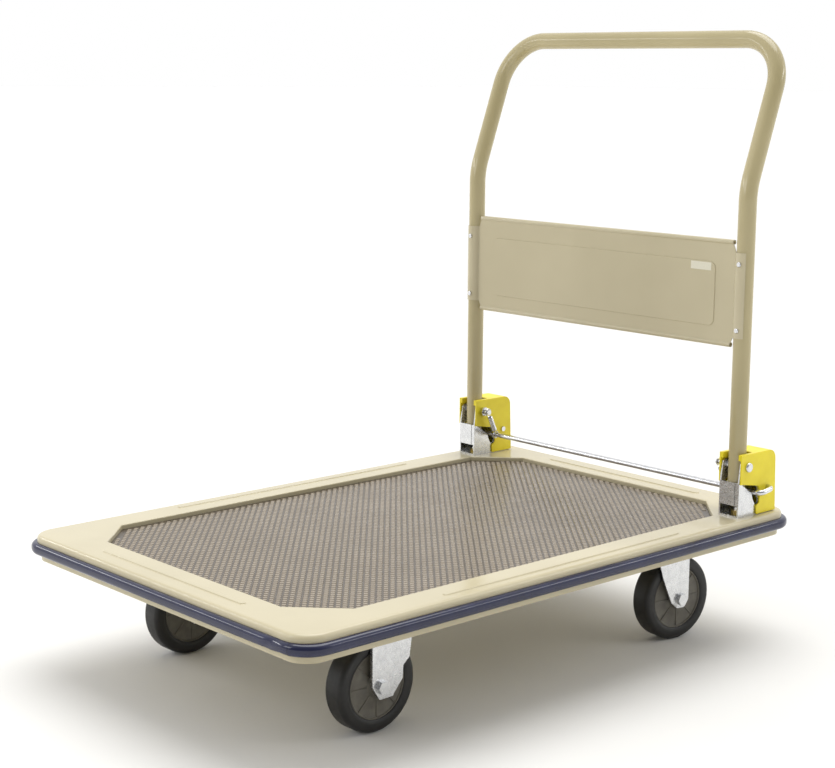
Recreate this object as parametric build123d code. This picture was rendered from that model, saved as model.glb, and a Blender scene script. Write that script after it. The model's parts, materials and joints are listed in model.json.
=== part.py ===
from build123d import *
import os
from math import atan2, cos, hypot, radians, sin, tan

# Folding platform cart. +X points to the front, away from the handle, +Y to the cart's
# left and +Z up. The origin is on the floor under the middle of the platform. Heights below
# are drawn from a datum a little above the floor, and the finished parts are lifted by it.
datum_height = 12

# Platform
platform_length = 910
platform_width = 610
deck_top = 169
mat_top = 164
sheet = 2
bumper_wall = 8
bumper_top = 159.5
bumper_bottom = 144.5
skirt_bottom = 146.5
rail_inset = 13
rail_bottom = 134.5
rail_sheet = 2.5
rail_flange = 16
corner_radius = 42
deck_edge_radius = 6
mat_half_length = 390
mat_half_width = 246.5
mat_chamfer = 60
mat_thickness = 3
mat_gap = 0.5
bead_width = 10
bead_height = 1.4
side_bead_y = 277
side_bead_length = 436
end_bead_x = 418
end_bead_length = 304

# Wheels and casters
wheel_radius = 60.5
axle_height = wheel_radius - datum_height
tyre_inner_radius = 44
tyre_half_width = 16
tyre_shoulder = 7
hub_half_width = 17.5
lip_half_width = 14.2
dish_half_width = 12.6
boss_radius = 14
bushing_radius = 9
hub_ribs = 8
hub_rib_width = 1.6
hub_rib_rise = 0.6
axle_radius = 5
running_gap = 0.05
fork_half_gap = 18.5
fork_sheet = 2.5
rigid_axle_x = 262
rigid_axle_y = 195
kingpin_x = -261
kingpin_y = 200
swivel_trail = 35
swivel_turn = -7
plate_half_length = 52
plate_half_width = 38
plate_corner = 10
plate_offset = 15
bolt_half_length = 38
bolt_half_width = 29
bolt_radius = 4
bolt_hole_radius = 4.3
bolt_tail = 8
hex_m8 = 13
hex_m10 = 17
hex_axle = 15
bolt_head_height = 5
nut_height = 5.5
axle_head_height = 5.5
axle_nut_height = 6.5
axle_tail = 8
plate_top = 148.5
plate_sheet = 3
channel_half_length = 52
channel_flange = 12
channel_side_gap = 1
stiffener_y = 95
stiffener_half_width = 18
stiffener_gap = 13
crown_bottom = 127
crown_radius = 31
race_radius = 24
race_half_width = 6
race_clearance = 0.2
race_gap = 1
ball_radius = 3
ball_height = 136.5
ball_count = 14
king_radius = 5
king_head_gap = 0.3
king_head_height = 5.5
king_nut_height = 6
rib_height = 1.5

# Handle
tube_radius = 12.5
tube_wall = 1.5
tube_x = -357
tube_y = 266
pivot_height = 241
tube_end_height = 206
bend_height = 628
top_height = 831
lean_angle = 20
bend_radius = 110
top_corner_radius = 70

# Handle panel
panel_x = -351
panel_bottom = 411
panel_top = 554
panel_half_width = 253
panel_sheet = 1.2
roll_radius = 3.6
emboss_half_width = 220
emboss_bottom = 434
emboss_top = 525
tab_bottom = 422
tab_top = 541
screw_heights = (433, 525)
screw_radius = 1.85
screw_head_radius = 3.6
label_y = (177, 213)
label_z = (512, 523)
label_thickness = 0.3
emboss_rise = 1.2
emboss_corner = 10

# Hinge brackets, covers and the release bar, as offsets from the tube's axis
bracket_half_gap = 14.5
bracket_sheet = 2.5
bracket_front = 16
bracket_rear = -60
cover_half_width = 19.5
cover_sheet = 2.2
cover_top = 259.5
pivot_radius = 4
bar_radius = 4
bar_offset = (-18.5, 202)
bar_pivot_offset = (-46, 206)
bar_reach = 28.5
bar_bend_radius = 8
bar_travel = 30
bar_slot_gap = 0.8
strap_bottom = 186
strap_top = 219
strap_seam = 9.5
post_reach = 35
post_groove = (30.5, 33)
post_neck = 2.8
sleeve_radius = 6
spring_y = 31.75
spring_radius = 4.2
spring_wire = 0.6

sides = {"left": 1, "right": -1}
nodes = {}


def box(x0, x1, y0, y1, z0, z1):
    return Pos((x0 + x1) / 2, (y0 + y1) / 2, (z0 + z1) / 2) * Box(x1 - x0, y1 - y0, z1 - z0)


def post(radius, x, y, z0, z1):
    """An upright cylinder."""
    return Pos(x, y, (z0 + z1) / 2) * Cylinder(radius, z1 - z0)


def pin(radius, x, z, y0, y1):
    """A cylinder along Y."""
    return Pos(x, (y0 + y1) / 2, z) * Rot(90, 0, 0) * Cylinder(radius, abs(y1 - y0))


def outline(*points):
    """A flat face through the points, facing up whichever way round they run."""
    turns = zip(points, points[1:] + points[:1])
    area = sum(x0 * y1 - x1 * y0 for (x0, y0), (x1, y1) in turns)
    ordered = points if area > 0 else points[::-1]
    return Polygon(*ordered, align=None)


def side_plate(sketch, y0, y1):
    """A sketch drawn in X and Z, given a thickness from y0 to y1."""
    plane = Plane(origin=(0, y1, 0), x_dir=(1, 0, 0), z_dir=(0, -1, 0))
    return extrude(plane * sketch, amount=y1 - y0)


def hex_post(across, x, y, z0, z1):
    sketch = RegularPolygon(across / 2, 6, major_radius=False)
    return extrude(Pos(x, y, z0) * sketch, amount=z1 - z0)


def hex_pin(across, x, z, y0, y1):
    sketch = RegularPolygon(across / 2, 6, major_radius=False)
    low, high = min(y0, y1), max(y0, y1)
    return side_plate(Pos(x, z) * sketch, low, high)


def rounded_slab(half_x, half_y, radius, z0, z1):
    return extrude(Pos(0, 0, z0) * RectangleRounded(2 * half_x, 2 * half_y, radius), amount=z1 - z0)


def octagon(grow, z0, z1):
    """The mat's outline, made larger all round by grow."""
    a = mat_half_length + grow
    b = mat_half_width + grow
    c = mat_chamfer + grow * (2 - 2 ** 0.5)
    points = [(a, b - c), (a - c, b), (c - a, b), (-a, b - c)]
    points += [(-x, -y) for x, y in points]
    return extrude(Pos(0, 0, z0) * outline(*points), amount=z1 - z0)


def group(parts):
    """Separate solids kept together in one node."""
    return Compound([solid for part in parts for solid in part.solids()])


def top_edges(solid):
    return solid.faces().sort_by(Axis.Z)[-1].edges()


# ---- platform ----

deck_half_x = platform_length / 2 - bumper_wall
deck_half_y = platform_width / 2 - bumper_wall
deck_corner = corner_radius - bumper_wall
rail_half_x = platform_length / 2 - rail_inset
rail_half_y = platform_width / 2 - rail_inset
pocket_floor = mat_top - mat_thickness
pan_underside = pocket_floor - sheet


def bead(x, y, length, along_x):
    """A raised bead pressed in the deck, with round ends and soft edges."""
    turn = 0 if along_x else 90
    sketch = Pos(x, y, deck_top - sheet / 2) * Rot(0, 0, turn) * SlotOverall(length, bead_width)
    ridge = extrude(sketch, amount=sheet / 2 + bead_height)
    return fillet(top_edges(ridge), bead_height * 0.8)


def deck_pan():
    pan = rounded_slab(deck_half_x, deck_half_y, deck_corner, skirt_bottom, deck_top)
    pan = fillet(top_edges(pan), deck_edge_radius)
    inner = [deck_half_x - sheet, deck_half_y - sheet, deck_corner - sheet]
    pan -= rounded_slab(*inner, skirt_bottom, pan_underside)
    pan -= rounded_slab(*inner, pan_underside, deck_top - sheet - 1) - octagon(mat_gap + sheet, 0, deck_top)
    pan -= octagon(mat_gap, pocket_floor, deck_top)
    for x, y, length, along_x in deck_beads():
        pan += bead(x, y, length, along_x)
    for x, y in bracket_bolt_places():
        pan -= post(pivot_radius + running_gap, x, y, pan_underside, deck_top)
    return pan


def deck_beads():
    """Centre, length and direction of each bead around the mat."""
    beads = []
    for sign in (1, -1):
        beads.append((0, sign * side_bead_y, side_bead_length, True))
        beads.append((sign * end_bead_x, 0, end_bead_length, False))
    return beads


def deck_mat():
    return octagon(0, pocket_floor, mat_top)


def bumper():
    """A soft strip that wraps the lower edge of the deck's skirt."""
    strip = rounded_slab(platform_length / 2, platform_width / 2, corner_radius, bumper_bottom, bumper_top)
    outer_edges = strip.edges().filter_by(lambda edge: edge.center().Z in (bumper_bottom, bumper_top))
    strip = fillet(outer_edges, (bumper_top - bumper_bottom) * 0.42)
    strip -= rounded_slab(rail_half_x, rail_half_y, corner_radius - rail_inset, bumper_bottom, bumper_top)
    skirt = rounded_slab(deck_half_x, deck_half_y, deck_corner, skirt_bottom, bumper_top)
    inner = (deck_half_x - sheet, deck_half_y - sheet, deck_corner - sheet)
    skirt -= rounded_slab(*inner, skirt_bottom, bumper_top)
    return strip - skirt


def rails():
    """The frame under the deck, cut into its four rails at the mitred corners."""
    outer = (rail_half_x, rail_half_y, corner_radius - rail_inset)
    ring = rounded_slab(*outer, rail_bottom, deck_top - sheet - 1)
    inner = (rail_half_x - rail_sheet, rail_half_y - rail_sheet, corner_radius - rail_inset - rail_sheet)
    ring -= rounded_slab(*inner, rail_bottom + rail_sheet, deck_top)
    lip = (rail_half_x - rail_flange, rail_half_y - rail_flange, corner_radius - rail_inset - rail_flange)
    ring -= rounded_slab(*lip, rail_bottom, deck_top)
    far = rail_half_x + rail_half_y
    wedge = outline((0, 0), (far, far), (far, -far))
    corner = rail_half_x - rail_half_y
    parts = {}
    for name, x, turn in (("front", corner, 0), ("rear", -corner, 180)):
        cutter = extrude(Pos(x, 0, 0) * Rot(0, 0, turn) * wedge, amount=deck_top)
        parts["frame_rail_" + name] = (ring & cutter).solids()[0]
        ring = ring - cutter
    for name, side in sides.items():
        half = box(-far, far, min(0, side * far), max(0, side * far), 0, deck_top)
        parts["frame_rail_" + name] = (ring & half).solids()[0]
    return parts


def cross_channel(x, bolt_places, pin_places):
    """A hat channel across the deck that carries a pair of casters."""
    half_y = rail_half_y - rail_sheet - channel_side_gap
    low, high = plate_top, pan_underside
    channel = box(x - channel_half_length, x + channel_half_length, -half_y, half_y, low, high)
    inside = channel_half_length - sheet
    channel -= box(x - inside, x + inside, -half_y, half_y, low + sheet, high)
    for sign in (1, -1):
        start = x + sign * channel_half_length
        edge = start + sign * channel_flange
        channel += box(min(start, edge), max(start, edge), -half_y, half_y, high - sheet, high)
    for px, py in bolt_places:
        channel -= post(bolt_hole_radius, px, py, low, high)
    for px, py in pin_places:
        channel -= post(12, px, py, low, high)
    return channel


def stiffener(side):
    """A folded channel along the deck between the two caster channels."""
    y = side * stiffener_y
    half = stiffener_half_width
    inner = half - sheet
    reach_front = rigid_axle_x - plate_offset - channel_half_length - stiffener_gap
    reach_rear = kingpin_x + channel_half_length + stiffener_gap
    rib = box(reach_rear, reach_front, y - half, y + half, plate_top, pan_underside)
    return rib - box(reach_rear, reach_front, y - inner, y + inner, plate_top + sheet, pan_underside)


# ---- wheels ----

def wheel_tyre(x, y):
    half = tyre_half_width
    middle = (tyre_inner_radius + wheel_radius) / 2
    section = Pos(middle, 0) * Rectangle(wheel_radius - tyre_inner_radius, 2 * half)
    crown = [v for v in section.vertices() if v.X > wheel_radius - 1]
    section = fillet(crown, tyre_shoulder)
    ring = revolve(Plane.XY * section, Axis.Y)
    return Pos(x, y, axle_height) * ring


def wheel_hub(x, y):
    """A moulded hub: a dished disc with a lip at the tyre, a boss and low ribs on both faces."""
    lip_inner = tyre_inner_radius - 2
    half = [(bushing_radius, hub_half_width), (boss_radius, hub_half_width)]
    half += [(boss_radius + 2, dish_half_width), (lip_inner - 1.5, dish_half_width - 0.5)]
    half += [(lip_inner, lip_half_width), (tyre_inner_radius, lip_half_width)]
    section = outline(*half, *[(radius, -width) for radius, width in reversed(half)])
    hub = revolve(section, Axis.Y)
    rib_middle = (boss_radius + lip_inner) / 2
    for index in range(hub_ribs):
        depth = 2 * (dish_half_width + hub_rib_rise)
        rib = Pos(rib_middle, 0, 0) * Box(lip_inner - boss_radius, depth, hub_rib_width)
        hub += Rot(0, 360 / hub_ribs * index, 0) * rib
    return Pos(x, y, axle_height) * hub


def wheel_bushing(x, y):
    half = hub_half_width
    outer = pin(bushing_radius, x, axle_height, y - half, y + half)
    return outer - pin(axle_radius + running_gap, x, axle_height, y - half, y + half)


# ---- casters ----

def caster_bolt_places(x, y):
    return [(x + sx * bolt_half_length, y + sy * bolt_half_width) for sx in (1, -1) for sy in (1, -1)]


def caster_plate(x, y, low):
    plate = Pos(x, y, 0) * rounded_slab(plate_half_length, plate_half_width, plate_corner, low, plate_top)
    for px, py in caster_bolt_places(x, y):
        plate -= post(bolt_hole_radius, px, py, low, plate_top)
    return plate


def rigid_fork(side):
    """A plate with two legs: upright front edge, shouldered rear edge and an angular foot."""
    x, y, z = rigid_axle_x, side * rigid_axle_y, axle_height
    fork = caster_plate(x - plate_offset, y, plate_top - plate_sheet)
    roof = plate_top - 1 - z
    leg = outline((15, roof), (15, 2), (3.5, -16), (-19, -15.5), (-35, 3), (-36, 19.5), (-46, 28),
                  (-50, 55), (-50, roof))
    strip = outline((15, roof - 2), (15, 2), (3.5, -16), (-19, -15.5), (-19, roof - 2))
    strip = fillet(strip.vertices(), 2)
    leg = fillet([v for v in leg.vertices() if v.Y < roof - 5], 3)
    for sign in (1, -1):
        near = sign * fork_half_gap
        far = sign * (fork_half_gap + fork_sheet)
        rib = sign * (fork_half_gap + fork_sheet + rib_height)
        fork += side_plate(Pos(x, z) * leg, y + min(near, far), y + max(near, far))
        fork += side_plate(Pos(x, z) * strip, y + min(near, rib), y + max(near, rib))
    fork -= box(x - 80, x + 80, y - 60, y + 60, plate_top, plate_top + 5)
    return fork - pin(axle_radius, x, z, y - 40, y + 40)


def swivel_fork(side):
    """A crown on the kingpin with two raked legs that trail the wheel."""
    king_x, y, z = kingpin_x, side * kingpin_y, axle_height
    x = king_x - swivel_trail
    outer = fork_half_gap + fork_sheet
    crown = post(crown_radius, king_x, y, crown_bottom, crown_bottom + plate_sheet)
    crown += box(x - 15, king_x + 14, y - outer, y + outer, crown_bottom, crown_bottom + plate_sheet)
    race_top = ball_height - race_gap
    crown += post(race_radius + race_half_width, king_x, y, crown_bottom + plate_sheet, race_top)
    crown -= post(race_radius - race_half_width, king_x, y, crown_bottom + plate_sheet, race_top)
    groove = Pos(king_x, y, ball_height) * Torus(race_radius, ball_radius + race_clearance)
    crown -= groove
    roof = crown_bottom + plate_sheet - z
    leg = outline((-15, roof), (-15, -2), (-8, -13), (6, -13), (17, -4), (27, 18), (35, 36.5),
                  (49, roof))
    leg = fillet([v for v in leg.vertices() if v.Y < 0], 6)
    for sign in (1, -1):
        near = sign * fork_half_gap
        far = sign * outer
        crown += side_plate(Pos(x, z) * leg, y + min(near, far), y + max(near, far))
    crown -= post(king_radius + running_gap, king_x, y, crown_bottom - 1, race_top)
    return crown - pin(axle_radius, x, z, y - 40, y + 40)


def swivel_plate(side):
    """The fixed plate of a swivel caster with the upper ball race."""
    x, y = kingpin_x, side * kingpin_y
    low = plate_top - plate_sheet
    plate = caster_plate(x, y, low)
    plate += post(race_radius + race_half_width, x, y, ball_height + race_gap, low)
    plate -= Pos(x, y, ball_height) * Torus(race_radius, ball_radius + race_clearance)
    return plate - post(king_radius, x, y, ball_height, plate_top)


def turn_caster(name, side):
    """Turns a rear caster's moving nodes about its kingpin, as they stand after a gentle curve."""
    king_y = side * kingpin_y
    turn = Pos(kingpin_x, king_y, 0) * Rot(0, 0, swivel_turn) * Pos(-kingpin_x, -king_y, 0)
    for part in ("swivel_fork", "swivel_balls", "swivel_axle", "swivel_axle_nut", "tyre_rear", "hub_rear",
                 "wheel_bushing_rear"):
        nodes[f"{part}_{name}"] = turn * nodes[f"{part}_{name}"]


def swivel_balls(side):
    x, y = kingpin_x, side * kingpin_y
    balls = []
    for index in range(ball_count):
        angle = radians(360 / ball_count * index)
        place = Pos(x + race_radius * cos(angle), y + race_radius * sin(angle), ball_height)
        balls.append(place * Sphere(ball_radius))
    return group(balls)


def kingpins():
    """Bolts up through the forks and plates, with their nuts in the channel above."""
    pins = []
    x = kingpin_x
    head_top = crown_bottom - king_head_gap
    for side in sides.values():
        head = hex_post(hex_m10, x, side * kingpin_y, head_top - king_head_height, head_top)
        pins.append(head + post(king_radius, x, side * kingpin_y, head_top - 1, plate_top + 7.5))
    return group(pins)


def kingpin_nuts():
    nuts = []
    x = kingpin_x
    low, high = plate_top, plate_top + king_nut_height
    for side in sides.values():
        y = side * kingpin_y
        nuts.append(hex_post(hex_m10, x, y, low, high) - post(king_radius, x, y, low, high))
    return group(nuts)


def axle(side, x, y, outer):
    """Wheel bolt with its head on the outside of the cart."""
    z = axle_height
    face = y + side * outer
    end = y - side * (outer + axle_tail)
    bolt = pin(axle_radius, x, z, face, end)
    return bolt + hex_pin(hex_axle, x, z, face, face + side * axle_head_height)


def axle_nut(side, x, y, outer):
    z = axle_height
    face = y - side * outer
    nut = hex_pin(hex_axle, x, z, face, face - side * axle_nut_height)
    return nut - pin(axle_radius, x, z, face + side, face - side * 7)


def all_caster_bolt_places():
    places = []
    for side in sides.values():
        places += caster_bolt_places(rigid_axle_x - plate_offset, side * rigid_axle_y)
        places += caster_bolt_places(kingpin_x, side * kingpin_y)
    return places


def caster_bolts():
    bolts = []
    low = plate_top - plate_sheet
    for x, y in all_caster_bolt_places():
        shank = post(bolt_radius, x, y, low - 1, plate_top + bolt_tail)
        bolts.append(hex_post(hex_m8, x, y, low - bolt_head_height, low) + shank)
    return group(bolts)


def caster_nuts():
    nuts = []
    low = plate_top + sheet
    for x, y in all_caster_bolt_places():
        bore = post(bolt_radius, x, y, low, low + nut_height)
        nuts.append(hex_post(hex_m8, x, y, low, low + nut_height) - bore)
    return group(nuts)


# ---- handle ----

def handle_path():
    """Centre line of the handle, from one lower end to the other."""
    top_x = tube_x - (top_height - bend_height) * tan(radians(lean_angle))
    points = [(tube_x, tube_y, tube_end_height), (tube_x, tube_y, bend_height), (top_x, tube_y, top_height)]
    points += [(x, -y, z) for x, y, z in reversed(points)]
    radii = [bend_radius, top_corner_radius, top_corner_radius, bend_radius]
    return FilletPolyline(*points, radius=radii)


def handle_tube():
    path = handle_path()
    start = Plane(origin=(tube_x, tube_y, tube_end_height), z_dir=(0, 0, 1))
    ring = Circle(tube_radius) - Circle(tube_radius - tube_wall)
    tube = sweep(start * ring, path=path)
    for side in sides.values():
        y = side * tube_y
        tube -= pin(sleeve_radius, tube_x, pivot_height, y - 20, y + 20)
        for height in screw_heights:
            tube -= screw_bore(1.9, y, height)
    return tube


def screw_bore(radius, y, height):
    bore = Rot(0, 90, 0) * Cylinder(radius, 12)
    return Pos(tube_x + tube_radius, y, height) * bore


def pivot_sleeves():
    """Bushes welded through the tubes that turn on the pivot bolts."""
    sleeves = []
    half = bracket_half_gap - 0.3
    for side in sides.values():
        low, high = side * tube_y - half, side * tube_y + half
        bore = pin(pivot_radius + running_gap, tube_x, pivot_height, low, high)
        sleeves.append(pin(sleeve_radius, tube_x, pivot_height, low, high) - bore)
    return group(sleeves)


def tube_tab(side):
    """The panel's end, curved round the front of the tube."""
    inner = tube_radius + 0.05
    outer = inner + panel_sheet
    ring = Cylinder(outer, tab_top - tab_bottom) - Cylinder(inner, tab_top - tab_bottom)
    start = panel_x - tube_x
    keep = outline((start - panel_sheet, -40), (60, -40), (60, 50), (0, 0), (0, -8))
    tab = ring & extrude(keep, amount=400, both=True)
    tab = tab if side > 0 else mirror(tab, about=Plane.XZ)
    return Pos(tube_x, side * tube_y, (tab_top + tab_bottom) / 2) * tab


def handle_panel():
    """Pressed sheet with rolled top and bottom edges and a raised middle."""
    half = panel_half_width
    panel = box(panel_x - panel_sheet, panel_x, -half, half, panel_bottom, panel_top)
    roll_x = panel_x - roll_radius
    for height in (panel_bottom, panel_top):
        roll = pin(roll_radius, roll_x, height, -half, half)
        panel += roll
        panel -= pin(roll_radius - panel_sheet, roll_x, height, -half, half)
    middle = (emboss_bottom + emboss_top) / 2
    height = emboss_top - emboss_bottom
    raised_sketch = RectangleRounded(2 * emboss_half_width, height, emboss_corner)
    place = Plane(origin=(panel_x, 0, middle), x_dir=(0, 1, 0), z_dir=(1, 0, 0))
    raised = extrude(place * raised_sketch, amount=emboss_rise)
    panel += fillet(raised.faces().sort_by(Axis.X)[-1].edges(), 1)
    behind = Plane(origin=(panel_x - panel_sheet, 0, middle), x_dir=(0, 1, 0), z_dir=(1, 0, 0))
    inner_width, inner_height = 2 * (emboss_half_width - sheet), height - 2 * sheet
    hollow_sketch = RectangleRounded(inner_width, inner_height, emboss_corner - sheet)
    panel -= extrude(behind * hollow_sketch, amount=1)
    for side in sides.values():
        root = sorted((side * (half - 1), side * (half + 1.2)))
        panel += box(panel_x - panel_sheet, panel_x, *root, tab_bottom, tab_top)
        panel += tube_tab(side)
        for height in screw_heights:
            panel -= screw_bore(2, side * tube_y, height)
    return panel


def panel_screws():
    screws = []
    face = tube_x + tube_radius + 0.05 + panel_sheet
    for side in sides.values():
        for height in screw_heights:
            head = Pos(face + 1, side * tube_y, height) * Rot(0, 90, 0) * Cylinder(screw_head_radius, 2)
            head = fillet(head.faces().sort_by(Axis.X)[-1].edges(), 1)
            shank = Pos(face - 2.5, side * tube_y, height) * Rot(0, 90, 0) * Cylinder(screw_radius, 7)
            screws.append(head + shank)
    return group(screws)


def panel_label():
    face = panel_x + emboss_rise
    return box(face, face + label_thickness, *label_y, *label_z)


# ---- hinge brackets and covers ----

def bar_slot(radius):
    """The space swept by the bar as it is pressed down, as a sketch."""
    dx = bar_offset[0] - bar_pivot_offset[0]
    dz = bar_offset[1] - bar_pivot_offset[1]
    reach = hypot(dx, dz)
    slot = None
    for step in range(9):
        angle = atan2(dz, dx) - radians(bar_travel * step / 8)
        x = bar_pivot_offset[0] + reach * cos(angle)
        z = bar_pivot_offset[1] + reach * sin(angle)
        disc = Pos(x, z) * Circle(radius)
        slot = disc if slot is None else slot + disc
    return slot


def bracket_bolt_places():
    places = []
    for side in sides.values():
        y = side * tube_y
        places += [(tube_x + 5, y + 6), (tube_x - 42, y)]
    return places


def hinge_bracket(side):
    """A folded steel channel: foot, two cheeks and a strap across the front."""
    y = side * tube_y
    inner = bracket_half_gap
    outer = inner + bracket_sheet
    base = deck_top
    rear, front = tube_x + bracket_rear, tube_x + bracket_front
    bracket = box(rear, front, y - outer, y + outer, base, base + bracket_sheet)
    cheek = outline((bracket_front, base), (bracket_front, 219), (12, 249), (-44, 249), (-54, 240),
                    (bracket_rear, base))
    cheek = fillet([v for v in cheek.vertices() if v.Y > 230], 5)
    window = outline((9, 216), (-9, 204), (-20, 199), (-27, 203), (-22, 212), (-14, 219), (4, 221))
    cheek -= bar_slot(bar_radius + bar_slot_gap) + window
    for sign in (1, -1):
        near, far = sorted((sign * inner, sign * outer))
        bracket += side_plate(Pos(tube_x, 0) * cheek, y + near, y + far)
    back = front - bracket_sheet
    strap = box(back, front, y - outer, y + outer, strap_bottom, strap_top)
    strap -= box(back, front, y + strap_seam, y + strap_seam + 1, strap_bottom, strap_top)
    bracket += strap
    bracket -= pin(pivot_radius, tube_x, pivot_height, y - 30, y + 30)
    bracket -= pin(bar_radius + 0.6, tube_x + bar_pivot_offset[0], bar_pivot_offset[1], y - 30, y + 30)
    for px, py in bracket_bolt_places():
        if abs(py - y) < outer:
            bracket -= post(pivot_radius + running_gap, px, py, base, base + bracket_sheet)
    return bracket


def cover_outline():
    """Side view of the cover: round shoulder at the rear, cut back to show the bracket."""
    top = cover_top
    low = mat_top + 6
    rear = -66
    profile = outline((15, top), (rear + 4, top), (rear, low), (-23, low), (-22, 181), (-29, 191),
                      (-30, 202), (-25, 211), (-8, 214), (11, 217.5), (15, 217.5))
    shoulder = [v for v in profile.vertices() if v.Y > top - 1 and v.X < 0]
    profile = fillet(shoulder, 14)
    bends = [v for v in profile.vertices() if -31 < v.X < -7 and 180 < v.Y < 216]
    return fillet(bends, 3.5)


def hinge_cover(side):
    """A moulded cap over the bracket, open at the front and round the tube."""
    y = side * tube_y
    outer = cover_half_width
    inner = outer - cover_sheet
    cover = side_plate(Pos(tube_x, 0) * cover_outline(), y - outer, y + outer)
    hollow = outline((30, 100), (30, cover_top - cover_sheet), (-50, cover_top - cover_sheet),
                     (-60, 245), (-63.8, 100))
    cover -= side_plate(Pos(tube_x, 0) * hollow, y - inner, y + inner)
    slot_half = tube_radius + 1
    lip = box(tube_x - 1, tube_x + 15, y - inner, y + inner, cover_top - 8, cover_top)
    lip -= box(tube_x - 1, tube_x + 15, y - slot_half, y + slot_half, cover_top - 8, cover_top)
    cover += lip
    throat = tube_radius + 3
    cover -= box(tube_x - throat, tube_x + 20, y - slot_half, y + slot_half, cover_top - 9, cover_top)
    cover -= pin(pivot_radius + 0.2, tube_x, pivot_height, y - 30, y + 30)
    back_x, back_z = bar_pivot_offset
    cover -= pin(bar_radius + running_gap, tube_x + back_x, back_z, y - 30, y + 30)
    return cover - side_plate(Pos(tube_x, 0) * bar_slot(bar_radius + bar_slot_gap), y - 30, y + 30)


def pivot_bolt(side):
    """Round-headed bolt outside; inside it runs on past its nut as the spring's post."""
    y = side * tube_y
    face = y + side * cover_half_width
    bolt = pin(pivot_radius, tube_x, pivot_height, face, y - side * post_reach)
    head = pin(7, tube_x, pivot_height, face, face + side * 4)
    rim = head.faces().sort_by(Axis.Y)[-1 if side > 0 else 0].edges()
    head = fillet(rim, 2.5)
    near, far = (y - side * reach for reach in post_groove)
    groove = pin(sleeve_radius, tube_x, pivot_height, near, far)
    groove -= pin(post_neck, tube_x, pivot_height, near, far)
    return bolt + head - groove


def pivot_nuts():
    nuts = []
    for side in sides.values():
        face = side * (tube_y - cover_half_width)
        nut = hex_pin(hex_m8, tube_x, pivot_height, face, face - side * 5)
        nuts.append(nut - pin(pivot_radius, tube_x, pivot_height, face + side, face - side * 6))
    return group(nuts)


def bracket_bolts():
    bolts = []
    for x, y in bracket_bolt_places():
        head = hex_post(hex_m8, x, y, deck_top - sheet - 6, deck_top - sheet - 1)
        bolts.append(head + post(pivot_radius, x, y, deck_top - sheet - 2, deck_top + 12))
    return group(bolts)


def bracket_nuts():
    nuts = []
    low = deck_top + bracket_sheet
    for x, y in bracket_bolt_places():
        bore = post(pivot_radius, x, y, low, low + axle_nut_height)
        nuts.append(hex_post(hex_m8, x, y, low, low + axle_nut_height) - bore)
    return group(nuts)


# ---- release bar and springs ----

def release_bar():
    """One rod across the cart whose ends turn back into the covers, where it pivots."""
    far = tube_y + bar_reach
    bar_x = tube_x + bar_offset[0]
    back_x = tube_x + bar_pivot_offset[0]
    tip = tube_y - cover_half_width - 2.5
    back_z = bar_pivot_offset[1]
    points = [(back_x, tip, back_z), (back_x, far, back_z), (bar_x, far, bar_offset[1])]
    points += [(x, -y, z) for x, y, z in reversed(points)]
    path = FilletPolyline(*points, radius=bar_bend_radius)
    start = Plane(origin=points[0], z_dir=(0, 1, 0))
    return sweep(start * Circle(bar_radius), path=path)


def release_spring(side):
    """Tension spring from the pivot bolt's post down to the bar, with a loop at each end."""
    y = side * (tube_y - spring_y)
    top = Vector(tube_x, y, pivot_height)
    low = Vector(tube_x + bar_offset[0], y, bar_offset[1])
    along = (low - top).normalized()
    length = (low - top).length - 20
    middle = Plane(origin=top + along * (9 + length / 2), z_dir=along)
    bore = spring_radius - 2 * spring_wire
    coil = middle * (Cylinder(spring_radius, length) - Cylinder(bore, length - 2))
    for place, ring in ((top + along * 2.5, 6.6), (low - along * 2.8, 7.9)):
        loop = Plane(origin=place, z_dir=(0, 1, 0)) * Torus(ring, spring_wire)
        coil += loop
    return coil


# ---- assembly ----

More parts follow.
